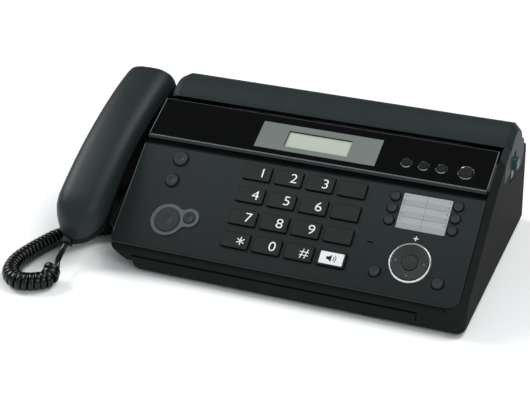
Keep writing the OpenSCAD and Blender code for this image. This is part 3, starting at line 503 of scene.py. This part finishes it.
def heading(points, i):
    """Direction of a chain of points at one of them."""
    return points[min(i + 1, len(points) - 1)] - points[max(i - 1, 0)]


def level_sides(points):
    """Level directions across a lead."""
    return [Vector((0, 0, 1)).cross(heading(points, i)).normalized()
            for i in range(len(points))]


def cord_points():
    """The cord's centreline, and the direction of its width at each point."""
    route = [(x, y, COIL_R + WIRE_T / 2) for x, y in COIL_ROUTE] + HANDSET_LEAD_ROUTE[1:]
    axis, length = smooth_path(route, AXIS_STEP)
    end = max(i for i, p in enumerate(axis) if p.y < COIL_END_Y)
    handset_lead, axis = axis[:end:-LEAD_STRIDE], axis[:end + 1]
    length *= end / (end + len(handset_lead) * LEAD_STRIDE)
    turned = length - 2 * COIL_MARGIN
    steps = round(turned / COIL_PITCH) * TURN_STEPS
    coil, coil_sides = [], []
    for k in range(steps + 1):
        f = (COIL_MARGIN + turned * k / steps) / length * (len(axis) - 1)
        i = min(int(f), len(axis) - 2)
        along = (axis[i + 1] - axis[i]).normalized()
        across = Vector((-along.y, along.x, 0)).normalized()
        a = math.pi / 2 - 2 * math.pi * k / TURN_STEPS
        flare = min(1, FLARE_START + min(k, steps - k) / FLARE_STEPS)
        coil.append(axis[i].lerp(axis[i + 1], f - i) + COIL_R * flare
                    * (math.cos(a) * across + math.sin(a) * along.cross(across)))
        coil_sides.append(along)
    handset_lead = handset_lead[:-1]
    body_lead = smooth_path(BODY_LEAD_ROUTE, LEAD_STEP)[0][2:]
    path = handset_lead + coil[::-1] + body_lead
    for joint in (len(handset_lead), len(handset_lead) + len(coil)):
        for reach in (*BLEND_ON, *BLEND_ON):
            for i in range(joint - min(reach, BLEND_BACK), min(joint + reach, len(path) - 2)):
                path[i] = (path[i - 1] + 2 * path[i] + path[i + 1]) / 4
    return path, level_sides(handset_lead) + coil_sides[::-1] + level_sides(body_lead)


def squared(a):
    """Point of the wire's section at an angle, as shares of its half width and half depth."""
    return [math.copysign(abs(f) ** WIRE_SQUARE, f) for f in (math.cos(a), math.sin(a))]


def make_cord():
    """The curly cord: one flat wire drawn along leads and coil."""
    points, sides = cord_points()
    section = [squared(2 * math.pi * j / WIRE_SIDES) for j in range(WIRE_SIDES)]
    bm = bmesh.new()
    rings, last = [], None
    for i, (p, w) in enumerate(zip(points, sides)):
        along = heading(points, i).normalized()
        w = (w - w.dot(along) * along).normalized()
        if last is not None:
            w = (math.copysign(1, w.dot(last)) * w + WIRE_FOLLOW * last).normalized()
            w = (w - w.dot(along) * along).normalized()
        last = w
        n = along.cross(w)
        rings.append([bm.verts.new(MM @ (p + WIRE_W / 2 * x * w + WIRE_T / 2 * y * n))
                      for x, y in section])
    for a, b in zip(rings, rings[1:]):
        skirt(bm, a, b)
    bm.faces.new(list(reversed(rings[0])))
    bm.faces.new(rings[-1])
    obj = piece("handset_cord", mesh_of("handset_cord", bm), "root", CORD_MAT,
                smooth=60)
    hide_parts("cord_coil", "cord_lead_handset", "cord_lead_body")


make_cord()

# Body-side plug of the cord, in its socket in the left wall
PLUG_AT = (-119, -30)
PLUG_SIZE = (12, 8.4, 0.8)
PLUG_FOOT = 21
PLUG_TOP = 27
plate("cord_body_plug", rounded(*PLUG_SIZE), PLUG_FOOT, PLUG_TOP, MM, "root", BLACK_MAT,
      at=PLUG_AT, edge=0.4)

# ---------------------------------------------------------------- printing on the keys

SIGNS = {f"key_{i}": str(i) for i in range(1, 10)}
SIGNS.update(key_star="*", key_0="0", key_hash="#")
SIGN_SIZE = 11.8
SIGN_SHIFT = 4.4
SIGN_BOLD = -0.09
SIGN_WIDE = 1.14
STAR_ARM = 3.6
STAR_W = 0.75
KEY_TOP = box_in("key_1", PANEL)[1][2]

for name, sign in SIGNS.items():
    u, v = middle_in(name, PANEL)
    at = (u + SIGN_SHIFT, v)
    if sign == "*":
        star(name + "_sign", STAR_ARM, STAR_W, at, KEY_TOP, PANEL, name, WHITE_INK)
    else:
        glyph(name + "_sign", sign, SIGN_SIZE, at, KEY_TOP, PANEL, name, WHITE_INK,
              bold=SIGN_BOLD, wide=SIGN_WIDE)

# ---------------------------------------------------------------- painted highlight on the left edge of the panel

# Painted highlight: a bright strip that stands for the light this edge catches
LINE_IN = (0.02, 0.5)
LINE_ENDS = (9, 93)
LINE_H = 0.06
panel_left = box_in("front_cover", PANEL)[0][0]
strip("panel_left_painted_highlight", *[panel_left + inset for inset in LINE_IN], *LINE_ENDS, 0, LINE_H,
      PANEL, "front_cover", HIGHLIGHT_MAT, "panel_plastic")

# ---------------------------------------------------------------- painted shade in the gaps round the keys

# Each key has a hidden flange this much wider than its cap
FLANGE = 0.8
# Painted shade: sizes and heights of the dark rings that stand for the shadow in the gap round
# each key
GAP_SHADE_IN = 0.32
GAP_SHADE_OUT = 0.95
GAP_SHADE_H = 0.02
GAP_SHADE_OUTER_H = 0.03
CORNER_IN = 1.2
CORNER_OUT = 1.8

# In metres. The points have no normals yet, so the back of the sheet still lies on its front
GAP_SHADE_THICKNESS = -0.00002
ROUND_KEYS = [name for name in NODES if name.startswith("one_touch")]
ROUND_KEYS += ["caller_id_button", "stop_button", "broadcast_button", "menu_button"]
BOX_KEYS = [name for name in NODES if name.startswith("key_") or name.endswith("_key")]


def cap_size(name):
    """Width and length of a key's cap, without its flange."""
    low, high = box_in(name, PANEL)
    return [high[i] - low[i] - 2 * FLANGE for i in (0, 1)]


def make_lips():
    """Painted shade: dark rings in the gaps round the keys, as one piece."""
    bm = bmesh.new()

    def lip(at, inner, outer):
        ring_in, ring_out = (
            [bm.verts.new(PANEL @ Vector((at[0] + x, at[1] + y, h))) for x, y in ring]
            for ring, h in ((inner, GAP_SHADE_H), (outer, GAP_SHADE_OUTER_H)))
        for i in range(len(inner)):
            k = (i + 1) % len(inner)
            bm.faces.new((ring_in[i], ring_out[i], ring_out[k], ring_in[k]))

    for name in BOX_KEYS:
        w, l = cap_size(name)
        lip(middle_in(name, PANEL), rounded(w + 2 * GAP_SHADE_IN, l + 2 * GAP_SHADE_IN, CORNER_IN),
            rounded(w + 2 * GAP_SHADE_OUT, l + 2 * GAP_SHADE_OUT, CORNER_OUT))
    for name in ROUND_KEYS:
        r = cap_size(name)[0] / 2
        lip(middle_in(name, PANEL), circle(r + GAP_SHADE_IN), circle(r + GAP_SHADE_OUT))
    bmesh.ops.solidify(bm, geom=bm.faces[:], thickness=GAP_SHADE_THICKNESS)
    # Painted shade, drawn in the black of the cradle
    piece("key_gap_painted_shade", mesh_of("key_gap_painted_shade", bm), "front_cover", CRADLE_MAT)


make_lips()

# ---------------------------------------------------------------- speakerphone key

# White plate with a plain loudspeaker sign: a horn and two waves
LABEL_SIZE = (19.5, 10.4, 0.8)
LABEL_TOP = KEY_TOP + 0.15
HORN = [(0.6, 3), (-1.8, 1.2), (-3.6, 1.2), (-3.6, -1.2), (-1.8, -1.2), (0.6, -3)]
HORN_SHIFT = 0.6
WAVES = (2.9, 4.6)
WAVE_W = 0.6
WAVE_HALF = 42
u, v = middle_in("speakerphone_key", PANEL)
plate("speakerphone_label", rounded(*LABEL_SIZE), KEY_TOP, LABEL_TOP, PANEL,
      "speakerphone_key", LABEL_MAT, at=(u, v))
plate("speakerphone_sign", HORN, LABEL_TOP, LABEL_TOP + INK, PANEL, "speakerphone_key",
      BLACK_MAT, at=(u - HORN_SHIFT, v), edge=0.02)
for i, r in enumerate(WAVES):
    bar(f"speakerphone_wave_{i + 1}", arc(r, WAVE_W, WAVE_HALF), LABEL_TOP, LABEL_TOP + INK,
        PANEL @ Matrix.Translation((u - HORN_SHIFT, v, 0)) @ UPRIGHT, "speakerphone_key",
        BLACK_MAT)

# ---------------------------------------------------------------- display

# Silver inlay round the glass of the display, each from side to side and from foot to top
INLAY = (-30.4, 74.6, 4.6, 32.9)
LCD_VIEW = (-5.7, 49.7, 9.4, 26.7)
INLAY_T = 0.16
RIM_SHOULDER = 0.5
RIM_CREST = 0.8
RIM_TAPER = 0.1
plate("display_silver_inlay", rectangle(*INLAY), 0, INLAY_T, DISPLAY, "front_cover", SILVER_MAT,
      hole=rectangle(*LCD_VIEW), edge=0.05)


def rim(name, key, inner, crest, outer):
    """Bright rim round a key of the display, by its inner, crest and outer radius."""
    profile = [(inner, 0), (inner, RIM_SHOULDER), (crest, RIM_CREST),
               (outer - RIM_TAPER, RIM_SHOULDER), (outer, 0)]
    lathe(name, profile, middle_in(key, DISPLAY), DISPLAY, "front_cover", RIM_MAT)


for i in (1, 2, 3):
    rim(f"display_button_rim_{i}", f"display_button_{i}", 4.0, 4.3, 4.7)
rim("auto_answer_rim", "auto_answer_button", 5.8, 6.2, 6.6)

# Painted highlights: bright strips along the rear, the sides and the nose of the gloss slab,
# standing for the light that these edges catch
(slab_left, _, _), (slab_right, slab_rear, _) = box_in("display_window", DISPLAY)
EDGE_IN = 0.3
EDGE_HALF = 0.3
EDGE_GAP = 0.5
EDGE_H = 0.1
REAR_HIGHLIGHT = [(-0.6, 0), (0, -0.6), (0.08, -0.5), (-0.5, 0.1)]
NOSE_HIGHLIGHT = [(-1.0, -0.36), (-0.4, -0.2), (-0.45, -0.1), (-1.05, -0.26)]
bar("painted_edge_highlight_rear", [(slab_rear + w, h) for w, h in REAR_HIGHLIGHT], slab_left + EDGE_IN,
    slab_right - EDGE_IN, DISPLAY, "front_cover", HIGHLIGHT_MAT)
for side, u in (("left", slab_left + EDGE_IN), ("right", slab_right - EDGE_IN)):
    strip(f"painted_edge_highlight_{side}", u - EDGE_HALF, u + EDGE_HALF, EDGE_GAP, slab_rear - EDGE_GAP, 0,
          EDGE_H, DISPLAY, "front_cover", HIGHLIGHT_MAT, "display_gloss")
bar("slab_nose_painted_highlight", NOSE_HIGHLIGHT, slab_left + EDGE_IN, slab_right - EDGE_IN, DISPLAY,
    "front_cover", HIGHLIGHT_MAT)

# ---------------------------------------------------------------- directory card

NAVIGATOR = middle_in("navigator_ring", PANEL)
CARD_AT = (NAVIGATOR[0] + 0.35, PANEL_LEN - 21)
CARD_SIZE = (40, 31, 1)
CARD_FOOT = -0.6
CARD_TOP = -0.25

# Printed lines, shaded rows and numbers, placed from the card's middle
LINE_TOP = -0.2
ROW_LINES = (-5.2, 5.2)
ROW_HALF = 19.65
ROW_LINE_HALF = 0.12
MIDDLE_LINE = (-0.15, 0.1, -15.2, 15.2)
SHADE_TOP = -0.23
SHADED_ROWS = (-12.9, -2.6, 7.7)
SHADE_HALF = (19.45, 2.4)
NUMBER_COLUMNS = (-17.85, 17.95)
NUMBER_FIRST = 12.9
NUMBER_PITCH = 5.15
NUMBER_SIZE = 2.6
NUMBERS = 10


def on_card(name, x0, x1, y0, y1, top, mat):
    """A printed stretch of the card."""
    u, v = CARD_AT
    strip(name, u + x0, u + x1, v + y0, v + y1, CARD_TOP, top, PANEL, "front_cover", mat,
          "lcd_glass")


plate("directory_card", rounded(*CARD_SIZE), CARD_FOOT, CARD_TOP, PANEL, "front_cover", CARD_MAT,
      at=CARD_AT)
for i, v in enumerate(ROW_LINES):
    on_card(f"card_line_{i + 1}", -ROW_HALF, ROW_HALF, v - ROW_LINE_HALF, v + ROW_LINE_HALF,
            LINE_TOP, GREY_INK)
for i, v in enumerate(SHADED_ROWS):
    on_card(f"card_shade_{i + 1}", -SHADE_HALF[0], SHADE_HALF[0], v - SHADE_HALF[1],
            v + SHADE_HALF[1], SHADE_TOP, SHADE_INK)
for i in range(NUMBERS):
    row, column = divmod(i, 2)
    at = (CARD_AT[0] + NUMBER_COLUMNS[column], CARD_AT[1] + NUMBER_FIRST - NUMBER_PITCH * row)
    glyph(f"card_number_{i + 1}", str(row + 1 + NUMBERS // 2 * column), NUMBER_SIZE, at,
          SHADE_TOP, PANEL, "front_cover", GREY_INK)
on_card("card_line_3", *MIDDLE_LINE, LINE_TOP, GREY_INK)

# ---------------------------------------------------------------- navigator

# Plus sign over the navigator, bright ring round it and three faint arrows on it
PLUS_AT = (NAVIGATOR[0] - 0.6, 51.5)
PLUS_LEN = 4.0
PLUS_W = 0.75
TRIM = [(15.3, 0.1), (15.3, 0.8), (15.6, 1.25), (16.1, 1.35), (16.6, 1.0), (17.0, 0.4),
        (17.0, 0.1)]
ARROW = ((12.5, 0), (10.9, 1.3), (10.9, -1.3))
ARROW_H = 1.36
ARROW_TOP = 1.46

for i, (w, l) in enumerate(((PLUS_LEN, PLUS_W), (PLUS_W, PLUS_LEN))):
    strip(f"plus_sign_{i + 1}", PLUS_AT[0] - w / 2, PLUS_AT[0] + w / 2, PLUS_AT[1] - l / 2,
          PLUS_AT[1] + l / 2, 0, INK, PANEL, "front_cover", WHITE_INK, "panel_plastic")
trim = lathe("navigator_trim_ring", TRIM, NAVIGATOR, PANEL, "front_cover", CHROME_MAT,
             steps=128)
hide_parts("navigator_trim")
for i, turn in enumerate((0, 180, 270)):
    arrow = [Matrix.Rotation(math.radians(turn), 2) @ Vector(p) + Vector(NAVIGATOR)
             for p in ARROW]
    plate(f"navigator_arrow_{i + 1}", arrow, ARROW_H, ARROW_TOP, PANEL, "navigator_ring",
          GREY_INK, edge=0.03)

# ---------------------------------------------------------------- lever of the top cover

# Tab by which the lever is pushed, outside the right wall
TAB_AT = (46.8, 83)
TAB_SIZE = (8.4, 10.5, 1.8)
TAB_ROOT = 175.9
TAB_TIP = 180.2
plate("lever_tab", rounded(*TAB_SIZE), TAB_ROOT, TAB_TIP, RIGHT_WALL, "cover_lever",
      LEVER_MAT, at=TAB_AT, edge=1.0)

# ---------------------------------------------------------------- stage and light, in metres

FLOOR_HALF = 6
floor_mesh = bpy.data.meshes.new("floor")
bm = bmesh.new()
bmesh.ops.create_grid(bm, x_segments=4, y_segments=4, size=FLOOR_HALF)
bm.to_mesh(floor_mesh)
floor = bpy.data.objects.new("floor", floor_mesh)
scene.collection.objects.link(floor)
floor_mesh.materials.append(material("floor", (0.93, 0.93, 0.93), 0.9, spec=0.0, vary=0.005))

# Sky that is bright in front of the object and dark overhead and behind it
SKY_FRONT = (0.7, 0.76, 0.78, 1)
SKY_REST = (0.07, 0.075, 0.075, 1)
SKY_TURN = (-0.85, -0.3)
world = bpy.data.worlds.new("world")
scene.world = world
world.use_nodes = True
wt = world.node_tree
sky_at = wt.nodes.new("ShaderNodeTexCoord")
sky_split = wt.nodes.new("ShaderNodeSeparateXYZ")
sky_range = wt.nodes.new("ShaderNodeMapRange")
sky_mix = wt.nodes.new("ShaderNodeMix")
sky_mix.data_type = "RGBA"
wt.links.new(sky_at.outputs["Generated"], sky_split.inputs["Vector"])
wt.links.new(sky_split.outputs["Y"], sky_range.inputs["Value"])
wt.links.new(sky_range.outputs["Result"], sky_mix.inputs["Factor"])
wt.links.new(sky_mix.outputs["Result"], wt.nodes["Background"].inputs["Color"])
sky_range.inputs["From Min"].default_value = SKY_TURN[0]
sky_range.inputs["From Max"].default_value = SKY_TURN[1]
sky_mix.inputs["A"].default_value = SKY_FRONT
sky_mix.inputs["B"].default_value = SKY_REST
wt.nodes["Background"].inputs["Strength"].default_value = 1.0


def area(name, at, target, size, power, size_y=None, color=(1, 1, 1)):
    """A rectangular light at a place, turned to a target."""
    data = bpy.data.lights.new(name, "AREA")
    data.shape = "RECTANGLE"
    data.size = size
    data.size_y = size_y or size
    data.energy = power
    data.color = color
    obj = bpy.data.objects.new(name, data)
    scene.collection.objects.link(obj)
    obj.matrix_world = (Matrix.Translation(at) @ (Vector(target) - Vector(at))
                        .to_track_quat("-Z", "Y").to_matrix().to_4x4())


area("key_light", at=(-2.1, 0.2, 1.6), target=(0, 0, 0.05), size=1.2, power=46)
area("right_light", at=(1.6, -1.6, 1.7), target=(0, 0, 0.03), size=1.2, power=22)
area("back_light", at=(0.9, 1.0, 2.4), target=(0, 0, 0), size=1.6, power=45)
# Long strip over the panel, whose mirror image gives the panel its gradient
area("sheen_light", at=(0, -0.14, 0.58), target=(0, -0.14, 0), size=0.72, power=0.48,
     size_y=0.08, color=(0.8, 0.97, 1.0))
